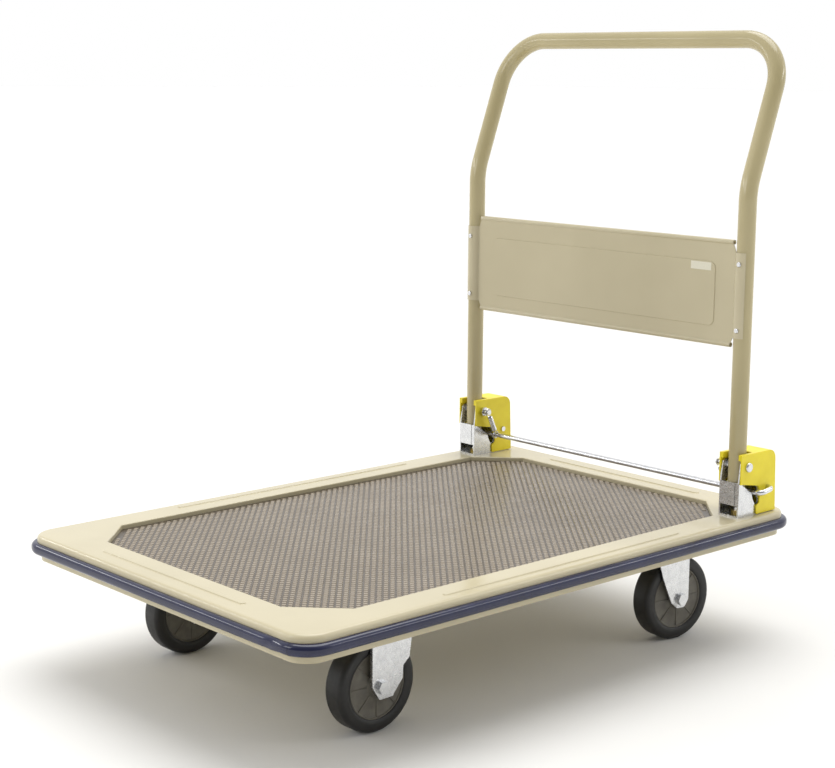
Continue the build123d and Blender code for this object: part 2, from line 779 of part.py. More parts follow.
def build():
    nodes["deck_pan"] = deck_pan()
    nodes["deck_mat"] = deck_mat()
    nodes["bumper"] = bumper()
    nodes.update(rails())
    front_x = rigid_axle_x - plate_offset
    rear_x = kingpin_x
    front_bolts = [place for place in all_caster_bolt_places() if place[0] > 0]
    rear_bolts = [place for place in all_caster_bolt_places() if place[0] < 0]
    rear_pins = [(rear_x, side * kingpin_y) for side in sides.values()]
    nodes["cross_channel_front"] = cross_channel(front_x, front_bolts, [])
    nodes["cross_channel_rear"] = cross_channel(rear_x, rear_bolts, rear_pins)
    nodes["caster_bolts"] = caster_bolts()
    nodes["caster_nuts"] = caster_nuts()
    rib_outer = fork_half_gap + fork_sheet + rib_height
    leg_outer = fork_half_gap + fork_sheet
    places = [(side, rigid_axle_x, side * rigid_axle_y, rib_outer) for side in sides.values()]
    nodes["rigid_axles"] = group(axle(*place) for place in places)
    nodes["rigid_axle_nuts"] = group(axle_nut(*place) for place in places)
    nodes["kingpins"] = kingpins()
    nodes["kingpin_nuts"] = kingpin_nuts()
    for name, side in sides.items():
        rigid = (rigid_axle_x, side * rigid_axle_y)
        swivel = (kingpin_x - swivel_trail, side * kingpin_y)
        nodes["stiffener_" + name] = stiffener(side)
        nodes["rigid_fork_" + name] = rigid_fork(side)
        nodes["swivel_plate_" + name] = swivel_plate(side)
        nodes["swivel_fork_" + name] = swivel_fork(side)
        nodes["swivel_balls_" + name] = swivel_balls(side)
        nodes["swivel_axle_" + name] = axle(side, *swivel, leg_outer)
        nodes["swivel_axle_nut_" + name] = axle_nut(side, *swivel, leg_outer)
        for end, place in (("front", rigid), ("rear", swivel)):
            nodes[f"tyre_{end}_{name}"] = wheel_tyre(*place)
            nodes[f"hub_{end}_{name}"] = wheel_hub(*place)
            nodes[f"wheel_bushing_{end}_{name}"] = wheel_bushing(*place)
        turn_caster(name, side)
        nodes["hinge_bracket_" + name] = hinge_bracket(side)
        nodes["hinge_cover_" + name] = hinge_cover(side)
        nodes["pivot_bolt_" + name] = pivot_bolt(side)
        nodes["release_spring_" + name] = release_spring(side)
    nodes["pivot_nuts"] = pivot_nuts()
    nodes["pivot_sleeves"] = pivot_sleeves()
    nodes["bracket_bolts"] = bracket_bolts()
    nodes["bracket_nuts"] = bracket_nuts()
    nodes["handle_tube"] = handle_tube()
    nodes["handle_panel"] = handle_panel()
    nodes["panel_screws"] = panel_screws()
    nodes["panel_label"] = panel_label()
    nodes["release_bar"] = release_bar()


build()
os.makedirs("parts", exist_ok=True)
for name, shape in nodes.items():
    export_step(Pos(0, 0, datum_height) * shape, f"parts/{name}.step")
    print(name, len(shape.solids()), round(shape.volume))
print(len(nodes), "nodes")
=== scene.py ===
import bmesh
import bpy
import json
import math
from mathutils import Matrix, Vector


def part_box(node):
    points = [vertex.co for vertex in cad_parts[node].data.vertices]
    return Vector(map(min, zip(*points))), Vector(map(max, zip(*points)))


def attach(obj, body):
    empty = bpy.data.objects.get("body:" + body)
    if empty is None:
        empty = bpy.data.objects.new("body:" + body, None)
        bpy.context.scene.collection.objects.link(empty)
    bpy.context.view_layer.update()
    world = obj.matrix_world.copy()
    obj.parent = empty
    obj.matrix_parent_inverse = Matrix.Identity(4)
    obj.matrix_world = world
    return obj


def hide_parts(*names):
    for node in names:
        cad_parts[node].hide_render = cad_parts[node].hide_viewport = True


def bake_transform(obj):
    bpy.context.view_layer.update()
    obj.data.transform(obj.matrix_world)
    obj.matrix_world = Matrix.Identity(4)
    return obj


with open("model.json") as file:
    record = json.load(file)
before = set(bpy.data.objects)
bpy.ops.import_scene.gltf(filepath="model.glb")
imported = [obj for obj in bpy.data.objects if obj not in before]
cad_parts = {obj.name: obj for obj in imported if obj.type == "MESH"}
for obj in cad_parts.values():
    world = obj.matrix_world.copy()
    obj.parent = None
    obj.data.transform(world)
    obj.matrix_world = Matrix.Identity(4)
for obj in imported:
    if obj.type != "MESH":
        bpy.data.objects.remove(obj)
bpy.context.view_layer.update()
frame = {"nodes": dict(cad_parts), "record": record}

# Folding platform cart. X is forward, Y the cart's left, Z up, in metres like the frame.
mm = 0.001
nodes = frame["nodes"]
sides = ("left", "right")
yAxis = Vector((0, 1, 0))
matLow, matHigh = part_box("deck_mat")
# the mat's studs stand in a diamond lattice whose rows cross it at about 48 degrees
studSettings = {"pitchX": 10.68, "pitchY": 12.08, "foot": 0.84, "top": 0.50, "height": 1.1, "edge": 5.5,
                "cornerShare": 0.6}


def linear(hexColour):
    # sRGB hex to the linear colour that shaders want
    channels = [int(hexColour[i:i + 2], 16) / 255 for i in (1, 3, 5)]
    return [c / 12.92 if c <= 0.04045 else ((c + 0.055) / 1.055) ** 2.4 for c in channels] + [1.0]


def addNode(tree, kind, values=None, links=None, **settings):
    # one node, its settings, its socket values and what feeds its sockets
    node = tree.nodes.new(kind)
    for name, value in settings.items():
        setattr(node, name, value)
    for name, value in (values or {}).items():
        node.inputs[name].default_value = value
    for name, source in (links or {}).items():
        tree.links.new(source, node.inputs[name])
    return node


def startMaterial(name, **shaderValues):
    material = bpy.data.materials.new(name)
    material.use_nodes = True
    tree = material.node_tree
    tree.nodes.clear()
    shader = addNode(tree, "ShaderNodeBsdfPrincipled", shaderValues)
    addNode(tree, "ShaderNodeOutputMaterial", links={"Surface": shader.outputs[0]})
    place = addNode(tree, "ShaderNodeTexCoord").outputs["Object"]
    return material, tree, shader, place


def addNoise(tree, place, sizeMm, detail=2.0, stretch=(1, 1, 1)):
    # noise whose blobs are about sizeMm across, optionally stretched along an axis
    scale = [1 / (sizeMm * mm * s) for s in stretch]
    mapping = addNode(tree, "ShaderNodeMapping", {"Scale": scale}, {"Vector": place})
    noise = addNode(tree, "ShaderNodeTexNoise", {"Scale": 1.0, "Detail": detail},
                    {"Vector": mapping.outputs[0]})
    return noise.outputs[0]


def addRamp(tree, source, stops):
    # stops: position, then a grey value or a linear colour
    ramp = addNode(tree, "ShaderNodeValToRGB", links={"Fac": source})
    elements = ramp.color_ramp.elements
    while len(elements) < len(stops):
        elements.new(0.5)
    for element, (position, value) in zip(elements, stops):
        element.position = position
        element.color = value if isinstance(value, list) else [value, value, value, 1.0]
    return ramp.outputs[0]


def addBump(tree, shader, height, depthMm, strength=1.0):
    bump = addNode(tree, "ShaderNodeBump", {"Strength": strength, "Distance": depthMm * mm},
                   {"Height": height})
    tree.links.new(bump.outputs[0], shader.inputs["Normal"])


# the tube pair is the same cream enamel made darker: painted shade for the upright handle tubes
enamelSettings = {"sheet": ("#BEB495", "#C7BD9E"), "tube": ("#B1A57C", "#BBAF87"),
                  "orangePeel": 2.2, "rough": (0.13, 0.2)}


def makeEnamel(name, dark, light):
    # baked enamel on steel: a warm cream, glossy, with a faint orange peel
    s = enamelSettings
    material, tree, shader, place = startMaterial(name)
    shade = addNoise(tree, place, 160, 3)
    tree.links.new(addRamp(tree, shade, [(0.3, linear(dark)), (0.7, linear(light))]),
                   shader.inputs["Base Color"])
    rub = addNoise(tree, place, 35, 4)
    tree.links.new(addRamp(tree, rub, [(0.3, s["rough"][0]), (0.75, s["rough"][1])]),
                   shader.inputs["Roughness"])
    addBump(tree, shader, addNoise(tree, place, s["orangePeel"], 1), 0.01)
    return material


# high holds the stud tops' colours with painted light in them; low is the painted shade between the studs
vinylMatSettings = {"high": ("#897C69", "#9B8E7B"), "low": "#493F33", "grain": 0.9,
                    "rough": (0.24, 0.36)}


def makeMatVinyl():
    # embossed PVC sheet: brown grey and satin, with painted shade between the studs and a painted highlight on
    # their tops, paler with height
    s = vinylMatSettings
    material, tree, shader, place = startMaterial("embossed_pvc_mat", **{"IOR": 1.53})
    paintedLitTopTone = addRamp(tree, addNoise(tree, place, 90, 4),
                       [(0.25, linear(s["high"][0])), (0.8, linear(s["high"][1]))])
    # painted light by height: the stud tops get the lit colour and the floor between them the painted shade
    height = addNode(tree, "ShaderNodeSeparateXYZ", links={0: place}).outputs["Z"]
    studBase = matHigh.z - studSettings["height"] * mm
    paintedShadeByHeight = addNode(tree, "ShaderNodeMapRange", {"From Min": studBase, "From Max": matHigh.z},
                    {"Value": height})
    colour = addNode(tree, "ShaderNodeMix", {6: linear(s["low"])}, {0: paintedShadeByHeight.outputs[0], 7: paintedLitTopTone},
                     data_type="RGBA")
    tree.links.new(colour.outputs[2], shader.inputs["Base Color"])
    tree.links.new(addRamp(tree, addNoise(tree, place, 12, 3), [(0.3, s["rough"][0]), (0.8, s["rough"][1])]),
                   shader.inputs["Roughness"])
    addBump(tree, shader, addNoise(tree, place, s["grain"], 2), 0.012)
    return material


bumperSettings = {"colour": "#161A3A", "worn": "#212547"}


def makeBumperVinyl():
    # extruded flexible PVC: navy, glossy, with faint flow streaks from the die
    s = bumperSettings
    material, tree, shader, place = startMaterial("extruded_navy_pvc", **{"IOR": 1.53})
    tone = addNoise(tree, place, 30, 4)
    tree.links.new(addRamp(tree, tone, [(0.35, linear(s["colour"])), (0.8, linear(s["worn"]))]),
                   shader.inputs["Base Color"])
    tree.links.new(addRamp(tree, addNoise(tree, place, 9, 3), [(0.3, 0.06), (0.8, 0.14)]),
                   shader.inputs["Roughness"])
    addBump(tree, shader, addNoise(tree, place, 9, 2), 0.05)
    return material


zincSettings = {"light": "#DFE0E1", "dark": "#CFD0D2", "streak": (1, 1, 9)}


def makeZinc(name, roughLow, roughHigh):
    # bright zinc plate on rolled steel: white metal with soft clouding from the bath
    s = zincSettings
    material, tree, shader, place = startMaterial(name, **{"Metallic": 1.0})
    cloud = addNoise(tree, place, 9, 4)
    tree.links.new(addRamp(tree, cloud, [(0.3, linear(s["dark"])), (0.7, linear(s["light"]))]),
                   shader.inputs["Base Color"])
    tree.links.new(addRamp(tree, addNoise(tree, place, 4, 3), [(0.3, roughLow), (0.75, roughHigh)]),
                   shader.inputs["Roughness"])
    addBump(tree, shader, addNoise(tree, place, 6, 1, s["streak"]), 0.006)
    return material


coverSettings = {"light": "#F2E02A", "dark": "#E8D41C", "spark": 1.4}


def makeCoverPlastic():
    # moulded polypropylene: saturated yellow, satin from a lightly spark eroded mould
    s = coverSettings
    material, tree, shader, place = startMaterial("moulded_yellow_polypropylene", **{"IOR": 1.49})
    tree.links.new(addRamp(tree, addNoise(tree, place, 25, 3),
                           [(0.3, linear(s["dark"])), (0.7, linear(s["light"]))]),
                   shader.inputs["Base Color"])
    tree.links.new(addRamp(tree, addNoise(tree, place, 6, 3), [(0.3, 0.36), (0.8, 0.48)]),
                   shader.inputs["Roughness"])
    addBump(tree, shader, addNoise(tree, place, s["spark"], 2), 0.01)
    return material


tyreSettings = {"dark": "#100F0E", "dusty": "#1C1B18", "mould": 1.6}


def makeTyreRubber():
    # moulded solid rubber: near black with a thin bloom of dust
    s = tyreSettings
    material, tree, shader, place = startMaterial("moulded_tyre_rubber", **{"IOR": 1.52})
    tree.links.new(addRamp(tree, addNoise(tree, place, 14, 5),
                           [(0.35, linear(s["dark"])), (0.8, linear(s["dusty"]))]),
                   shader.inputs["Base Color"])
    tree.links.new(addRamp(tree, addNoise(tree, place, 5, 3), [(0.3, 0.42), (0.8, 0.58)]),
                   shader.inputs["Roughness"])
    addBump(tree, shader, addNoise(tree, place, s["mould"], 3), 0.04)
    return material


hubSettings = {"light": "#69655A", "dark": "#57534A"}


def makeHubPlastic():
    # glass filled nylon: warm dark grey with faint swirls from the gate
    s = hubSettings
    material, tree, shader, place = startMaterial("moulded_grey_nylon", **{"IOR": 1.53})
    tree.links.new(addRamp(tree, addNoise(tree, place, 10, 4),
                           [(0.3, linear(s["dark"])), (0.75, linear(s["light"]))]),
                   shader.inputs["Base Color"])
    tree.links.new(addRamp(tree, addNoise(tree, place, 3, 3), [(0.3, 0.38), (0.8, 0.52)]),
                   shader.inputs["Roughness"])
    addBump(tree, shader, addNoise(tree, place, 1.0, 2), 0.03)
    return material


chromeSettings = {"light": "#E4E5E8", "dark": "#CFD0D4"}


def makeChrome():
    # bright drawn and plated rod: mirror like, with fine marks round it
    s = chromeSettings
    material, tree, shader, place = startMaterial("bright_plated_rod", **{"Metallic": 1.0})
    tree.links.new(addRamp(tree, addNoise(tree, place, 8, 3),
                           [(0.3, linear(s["dark"])), (0.7, linear(s["light"]))]),
                   shader.inputs["Base Color"])
    tree.links.new(addRamp(tree, addNoise(tree, place, 5, 4), [(0.3, 0.10), (0.8, 0.22)]),
                   shader.inputs["Roughness"])
    addBump(tree, shader, addNoise(tree, place, 5, 1, (1, 6, 1)), 0.002)
    return material


passivateSettings = {"gold": "#C9B25A", "violet": "#9C8A5E"}


def makePassivate():
    # yellow passivated zinc: gold with greenish and violet patches
    s = passivateSettings
    material, tree, shader, place = startMaterial("yellow_passivated_zinc", **{"Metallic": 1.0})
    tree.links.new(addRamp(tree, addNoise(tree, place, 4, 3),
                           [(0.35, linear(s["violet"])), (0.6, linear(s["gold"]))]),
                   shader.inputs["Base Color"])
    tree.links.new(addRamp(tree, addNoise(tree, place, 2, 3), [(0.3, 0.28), (0.8, 0.42)]),
                   shader.inputs["Roughness"])
    addBump(tree, shader, addNoise(tree, place, 0.5, 2), 0.02)
    return material


labelSettings = {"paper": "#DEDAC6", "pale": "#E8E4D2"}


def makeLabel():
    # printed vinyl label: off white with fine speckle and nothing written on it
    s = labelSettings
    material, tree, shader, place = startMaterial("printed_vinyl_label", **{"IOR": 1.5})
    tree.links.new(addRamp(tree, addNoise(tree, place, 1.5, 3),
                           [(0.3, linear(s["paper"])), (0.9, linear(s["pale"]))]),
                   shader.inputs["Base Color"])
    tree.links.new(addRamp(tree, addNoise(tree, place, 5, 2), [(0.3, 0.35), (0.8, 0.45)]),
                   shader.inputs["Roughness"])
    addBump(tree, shader, addNoise(tree, place, 0.8, 2), 0.01)
    return material


sheetEnamel = makeEnamel("cream_baked_enamel", *enamelSettings["sheet"])
# a darker copy of the sheet enamel, painted shade for the handle tubes
shadedTubeEnamel = makeEnamel("shaded_tube_enamel", *enamelSettings["tube"])
matVinyl = makeMatVinyl()
bumperVinyl = makeBumperVinyl()
zincPlate = makeZinc("bright_zinc_plate", 0.22, 0.34)
zincFastener = makeZinc("bright_zinc_fastener", 0.18, 0.30)
bushingSteel = makeZinc("drawn_steel_tube", 0.30, 0.45)
coverPlastic = makeCoverPlastic()
tyreRubber = makeTyreRubber()
hubPlastic = makeHubPlastic()
chrome = makeChrome()
passivate = makePassivate()
labelVinyl = makeLabel()
print("materials made")

finishes = {
    "cream_paint": sheetEnamel, "tube_paint": shadedTubeEnamel, "mat_vinyl": matVinyl, "bumper_vinyl": bumperVinyl,
    "zinc_plate": zincPlate, "zinc_fasteners": zincFastener, "ball_steel": chrome,
    "cover_plastic": coverPlastic, "spring_steel": chrome, "tyre_rubber": tyreRubber,
    "hub_plastic": hubPlastic, "bushing_steel": bushingSteel, "yellow_passivated": passivate,
    "bright_rod": chrome, "label_vinyl": labelVinyl,
}
for part in frame["record"]["subparts"]:
    mesh = nodes[part["node"]].data
    mesh.materials.clear()
    mesh.materials.append(finishes[part["material_slot"]])
print("finishes set")


def finishPiece(bm, name, material, body, replaced=(), facing=None, sharp=38):
    # facing is the way an open sheet's largest face should look
    bmesh.ops.remove_doubles(bm, verts=bm.verts, dist=0.005 * mm)
    bmesh.ops.recalc_face_normals(bm, faces=bm.faces)
    if facing and max(bm.faces, key=lambda face: face.calc_area()).normal.dot(facing) < 0:
        bmesh.ops.reverse_faces(bm, faces=bm.faces)
    mesh = bpy.data.meshes.new(name)
    bm.to_mesh(mesh)
    bm.free()
    mesh.materials.append(material)
    mesh.shade_smooth()
    mesh.set_sharp_from_angle(angle=math.radians(sharp))
    piece = bpy.data.objects.new(name, mesh)
    bpy.context.scene.collection.objects.link(piece)
    if body:
        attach(piece, body)
    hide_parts(*replaced)
    return piece


def thicken(piece, thickness):
    wall = piece.modifiers.new("sheet", "SOLIDIFY")
    wall.thickness = thickness * mm
    wall.offset = -1
    piece.modifiers.new("flats", "WEIGHTED_NORMAL").keep_sharp = True


def edgesOf(geometry):
    return [item for item in geometry if isinstance(item, bmesh.types.BMEdge)]


def vertsOf(geometry):
    return [item for item in geometry if isinstance(item, bmesh.types.BMVert)]


def drawLoop(bm, points):
    # a closed ring of edges through the points
    ring = [bm.verts.new(point) for point in points]
    return [bm.edges.new((a, b)) for a, b in zip(ring, ring[1:] + ring[:1])]


def runOn(bm, edges, move, steps=1):
    # carries an open section straight on
    for _ in range(steps):
        grown = bmesh.ops.extrude_edge_only(bm, edges=edges)["geom"]
        bmesh.ops.translate(bm, verts=vertsOf(grown), vec=Vector(move) / steps)
        edges = edgesOf(grown)
    return edges


def turnOn(bm, edges, centre, axis, degrees, steps):
    # carries an open section round a bend
    verts = list({vert for edge in edges for vert in edge.verts})
    spun = bmesh.ops.spin(bm, geom=verts + list(edges), cent=centre, axis=axis,
                          angle=math.radians(degrees), steps=steps, use_duplicate=False)
    return edgesOf(spun["geom_last"])


def closeLoop(bm, edges):
    bmesh.ops.contextual_create(bm, geom=list(edges))


deckSettings = {"corner": 34, "cornerSteps": 12, "edge": 6, "edgeSteps": 5, "sheet": 2,
                "matCorner": 60, "matGap": 0.5, "lip": 1.6, "lipSteps": 3, "pocket": 5, "floor": 8,
                "beadWidth": 10, "beadHeight": 1.4, "beadSlope": 0.4, "beadSteps": 5, "beadSides": 26,
                "sideBead": 436, "endBead": 304, "sideBeadY": 277, "endBeadX": 418}
deckTop = matHigh.z + deckSettings["pocket"] * mm


def matOutline(grow, height):
    # the mat's eight corners, larger all round by grow
    x, y = matHigh.x + grow, matHigh.y + grow
    corner = deckSettings["matCorner"] * mm + grow * (2 - math.sqrt(2))
    quarter = [Vector((x, y - corner, height)), Vector((x - corner, y, height))]
    left = [Vector((-point.x, point.y, height)) for point in reversed(quarter)]
    return quarter + left + [Vector((-p.x, -p.y, height)) for p in quarter + left]


def beadOutline(bm, x, y, length, alongX):
    # a slot shaped ring, drawn round the bead's foot
    half, count = deckSettings["beadWidth"] / 2 * mm, deckSettings["beadSides"]
    made = bmesh.ops.create_circle(bm, segments=count, radius=half, cap_ends=False)["verts"]
    # turned half a side, so that no corner stands on the line where the two ends part
    bmesh.ops.rotate(bm, verts=made, cent=(0, 0, 0), matrix=Matrix.Rotation(math.pi / count, 3, "Z"))
    for vert in made:
        vert.co.x += math.copysign(length * mm / 2 - half, vert.co.x)
    if not alongX:
        bmesh.ops.rotate(bm, verts=made, cent=(0, 0, 0), matrix=Matrix.Rotation(math.pi / 2, 3, "Z"))
    bmesh.ops.translate(bm, verts=made, vec=(x * mm, y * mm, deckTop))
    return list({edge for vert in made for edge in vert.link_edges})


def raiseBead(bm, edges, alongX):
    # soft sided ridge: rings close in on the slot's centre line as they rise
    s = deckSettings
    half, steps = s["beadWidth"] / 2 * mm, s["beadSteps"]
    verts = {vert for edge in edges for vert in edge.verts}
    centre = sum((vert.co for vert in verts), Vector()) / len(verts)
    axis = Vector((1, 0, 0)) if alongX else yAxis
    reach = max(abs((v.co - centre).dot(axis)) for v in verts) - half
    for step in range(1, steps + 1):
        edges = edgesOf(bmesh.ops.extrude_edge_only(bm, edges=edges)["geom"])
        share = s["beadSlope"] * step / steps
        height = s["beadHeight"] * mm * math.sin(step / steps * math.pi / 2) ** 2
        wanted = half * (1 - share)
        for vert in {v for edge in edges for v in edge.verts}:
            along = (vert.co - centre).dot(axis)
            spine = centre + axis * max(-reach, min(reach, along))
            outward = vert.co - spine
            outward.z = 0
            vert.co = spine + outward.normalized() * wanted
            vert.co.z = deckTop + height
    closeLoop(bm, edges)


def makeDeck():
    s = deckSettings
    low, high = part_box("deck_pan")
    bm = bmesh.new()
    bmesh.ops.create_cube(bm, size=1)
    bmesh.ops.scale(bm, verts=bm.verts, vec=(high.x - low.x, high.y - low.y, deckTop - low.z))
    bmesh.ops.translate(bm, verts=bm.verts, vec=(0, 0, (deckTop + low.z) / 2))
    upright = [e for e in bm.edges if abs(e.verts[0].co.z - e.verts[1].co.z) > 1 * mm]
    bmesh.ops.bevel(bm, geom=upright, offset=s["corner"] * mm, offset_type="OFFSET", affect="EDGES",
                    segments=s["cornerSteps"], profile=0.5, material=-1)
    rim = [e for e in bm.edges if min(v.co.z for v in e.verts) > deckTop - 0.1 * mm]
    bmesh.ops.bevel(bm, geom=rim, offset=s["edge"] * mm, offset_type="OFFSET", affect="EDGES",
                    segments=s["edgeSteps"], profile=0.5, material=-1)
    flat = [f for f in bm.faces if abs(f.normal.z) > 0.99]
    topEdges = [e for f in flat if f.calc_center_median().z > deckTop - 1 * mm for e in f.edges]
    bmesh.ops.delete(bm, geom=flat, context="FACES_ONLY")
    gap, lip = s["matGap"] * mm, s["lip"] * mm
    pocket = drawLoop(bm, matOutline(lip + gap, deckTop))
    beads = []
    for sign in (1, -1):
        beads.append((beadOutline(bm, 0, sign * s["sideBeadY"], s["sideBead"], True), True))
        beads.append((beadOutline(bm, sign * s["endBeadX"], 0, s["endBead"], False), False))
    holes = [edge for ring, _ in beads for edge in ring]
    bmesh.ops.triangle_fill(bm, use_beauty=True, use_dissolve=False, edges=topEdges + pocket + holes)
    for ring, alongX in beads:
        raiseBead(bm, ring, alongX)
    for step in range(1, s["lipSteps"] + 1):
        turn = math.pi / 2 * step / s["lipSteps"]
        pocket = drawBelow(bm, pocket, gap + lip * (1 - math.sin(turn)), deckTop - lip * (1 - math.cos(turn)))
    pocket = drawBelow(bm, pocket, gap, deckTop - s["floor"] * mm)
    closeLoop(bm, pocket)
    piece = finishPiece(bm, "deck_shell", sheetEnamel, "platform", ["deck_pan"],
                        facing=Vector((0, 0, 1)))
    thicken(piece, s["sheet"])


def drawBelow(bm, edges, grow, height):
    # the next ring of the mat's pocket, on the mat's own outline
    edges = edgesOf(bmesh.ops.extrude_edge_only(bm, edges=edges)["geom"])
    targets = matOutline(grow, height)
    for vert in {v for edge in edges for v in edge.verts}:
        flatPlace = Vector((vert.co.x, vert.co.y, height))
        vert.co = min(targets, key=lambda target: (target - flatPlace).length)
    return edges


def insideMat(x, y, margin):
    corner = deckSettings["matCorner"] * mm
    a, b = matHigh.x - margin, matHigh.y - margin
    return abs(x) < a and abs(y) < b and abs(x) + abs(y) < a + b - corner + margin * studSettings["cornerShare"]


def makeMat():
    s = studSettings
    studBase = matHigh.z - s["height"] * mm
    bm = bmesh.new()
    rim = drawLoop(bm, matOutline(0, studBase))
    closeLoop(bm, rim)
    closeLoop(bm, runOn(bm, rim, (0, 0, matLow.z - studBase)))
    stepX, stepY = s["pitchX"] / 2 * mm, s["pitchY"] / 2 * mm
    rows, columns = int(matHigh.y / stepY), int(matHigh.x / stepX)
    for row in range(-rows, rows + 1):
        line = bmesh.new()
        for column in range(-columns, columns + 1):
            x, y = column * stepX, row * stepY
            if (row + column) % 2 or not insideMat(x, y, s["edge"] * mm):
                continue
            place = Matrix.Translation((x, y, studBase + s["height"] / 2 * mm))
            place @= Matrix.Diagonal((stepX, stepY, 1, 1))
            bmesh.ops.create_cone(line, segments=4, cap_ends=True, radius1=s["foot"], radius2=s["top"],
                                  depth=s["height"] * mm, matrix=place)
        joined = bpy.data.meshes.new("stud_row")
        line.to_mesh(joined)
        line.free()
        bm.from_mesh(joined)
        bpy.data.meshes.remove(joined)
    finishPiece(bm, "tread_mat", matVinyl, "platform", ["deck_mat"], sharp=30)


bumperShape = {"corner": 42, "seamAngle": 18, "gapAngle": 0.5, "cornerSteps": 16, "runStep": 12,
               "depth": 8, "round": 6.2, "roundSteps": 5, "seamSteps": 6, "nearStep": 4,
               "crease": 60, "creaseDepth": 2.4, "creaseReach": 7.5, "folds": 9, "foldSlant": 5}


def bumperSection(bm, x, y, height, top):
    # a D: flat behind, round outside, drawn across the strip at its start
    s = bumperShape
    reach, radius = s["depth"] * mm, s["round"] * mm
    points = [Vector((x - reach, y, height)), Vector((x - reach, y, top))]
    for z, start in ((top - radius, 90), (height + radius, 0)):
        for step in range(s["roundSteps"] + 1):
            angle = math.radians(start - 90 * step / s["roundSteps"])
            points.append(Vector((x - radius + radius * math.cos(angle), y, z + radius * math.sin(angle))))
    return drawLoop(bm, points)


def makeBumper():
    s = bumperShape
    low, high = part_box("bumper")
    radius = s["corner"] * mm
    inX, inY = high.x - radius, high.y - radius
    bm = bmesh.new()
    ends = bumperSection(bm, high.x, inY, low.z, high.z)
    start = s["seamAngle"] + s["gapAngle"]
    centre = Vector((inX, inY, 0))
    bmesh.ops.rotate(bm, verts=bm.verts, cent=centre, matrix=Matrix.Rotation(math.radians(start), 3, "Z"))
    closeLoop(bm, ends)
    edges = turnOn(bm, ends, centre, (0, 0, 1), 90 - start, s["cornerSteps"])
    runs = (((-2 * inX, 0, 0), (-inX, inY)), ((0, -2 * inY, 0), (-inX, -inY)), ((2 * inX, 0, 0), (inX, -inY)))
    for move, corner in runs:
        edges = runOn(bm, edges, move, int(Vector(move).length / mm / s["runStep"]))
        edges = turnOn(bm, edges, Vector((*corner, 0)), (0, 0, 1), 90, s["cornerSteps"])
    edges = runOn(bm, edges, (0, 2 * inY, 0), int(2 * inY / mm / s["nearStep"]))
    edges = turnOn(bm, edges, centre, (0, 0, 1), s["seamAngle"], s["seamSteps"])
    closeLoop(bm, edges)
    # the heated end of the strip is creased where it was pulled round the corner
    seamY = inY + radius * math.sin(math.radians(s["seamAngle"]))
    for vert in bm.verts:
        back = (seamY - vert.co.y) / (s["crease"] * mm)
        if vert.co.x > inX and 0 <= back <= 1.0001 and vert.co.x > high.x - s["creaseReach"] * mm:
            level = (vert.co.z - low.z) / (high.z - low.z)
            fold = math.sin(back * s["folds"] + level * s["foldSlant"]) * math.sin(math.pi * min(1, back))
            swell = math.sin(math.pi * min(1, back * 1.2 + 0.05))
            vert.co.x -= s["creaseDepth"] * mm * (0.5 + 0.5 * fold) * swell
    finishPiece(bm, "edge_bumper", bumperVinyl, "platform", ["bumper"], sharp=60)


barShape = {"radius": 4, "bend": 8, "sides": 20, "bendSteps": 8, "tipGap": 2.5}
tubeShape = {"radius": 12.5, "wall": 1.5, "sides": 40, "lean": 20, "bendAboveMat": 464, "bendRadius": 110,
             "cornerRadius": 70, "bendSteps": 8, "cornerSteps": 16, "plug": 25}
pivotLow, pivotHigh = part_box("pivot_nuts")
pivotX, pivotZ = (pivotLow.x + pivotHigh.x) / 2, (pivotLow.z + pivotHigh.z) / 2
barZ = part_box("release_bar")[0].z + barShape["radius"] * mm


def makeHandle():
    s = tubeShape
    low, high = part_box("handle_tube")
    radius, lean = s["radius"] * mm, math.radians(s["lean"])
    x, y = pivotX, high.y - radius
    bendZ = matHigh.z + s["bendAboveMat"] * mm
    topZ = high.z - radius
    tangent = s["bendRadius"] * mm * math.tan(lean / 2)
    slant = Vector((-math.sin(lean), 0, math.cos(lean)))
    bm = bmesh.new()
    ring = bmesh.ops.create_circle(bm, segments=s["sides"], radius=radius, cap_ends=False)["verts"]
    bmesh.ops.translate(bm, verts=ring, vec=(x, y, low.z))
    edges = list({edge for vert in ring for edge in vert.link_edges})
    foot = list(edges)
    edges = runOn(bm, edges, (0, 0, bendZ - tangent - low.z), 6)
    bendCentre = Vector((x - s["bendRadius"] * mm, y, bendZ - tangent))
    edges = turnOn(bm, edges, bendCentre, (0, -1, 0), s["lean"], s["bendSteps"])
    cornerRadius = s["cornerRadius"] * mm
    slantLength = (topZ - bendZ) / math.cos(lean)
    edges = runOn(bm, edges, slant * (slantLength - tangent - cornerRadius), 3)
    ends = {vert for edge in edges for vert in edge.verts}
    here = sum((vert.co for vert in ends), Vector()) / len(ends)
    edges = turnOn(bm, edges, here - yAxis * cornerRadius, yAxis.cross(slant), 90, s["cornerSteps"])
    edges = runOn(bm, edges, (0, -(y - cornerRadius), 0), 3)
    lip = runOn(bm, foot, (0, 0, 0))
    for vert in {v for edge in lip for v in edge.verts}:
        away = Vector((vert.co.x - x, vert.co.y - y, 0))
        vert.co -= away.normalized() * s["wall"] * mm
    closeLoop(bm, runOn(bm, lip, (0, 0, s["plug"] * mm)))
    bmesh.ops.mirror(bm, geom=bm.verts[:] + bm.edges[:] + bm.faces[:], matrix=Matrix.Identity(4),
                     merge_dist=0.01 * mm, axis="Y")
    finishPiece(bm, "handle_bow", shadedTubeEnamel, "handle", ["handle_tube"], sharp=50)


panelShape = {"low": 423, "high": 566, "sheet": 1.2, "roll": 3.6, "rollBack": 1.8, "rollTurn": 300,
              "rollSteps": 18,
              "tabLow": 434, "tabHigh": 553, "cut": 4, "embossHalf": 220, "embossLow": 446, "embossHigh": 537,
              "embossCorner": 10, "embossRise": 1.2, "wrapTurn": 104, "wrapSteps": 14, "tabGap": 0.05,
              "embossSteps": ((0.12, 0.15), (0.24, 0.5), (0.36, 0.85), (0.6, 1.1), (1.0, 1.2))}


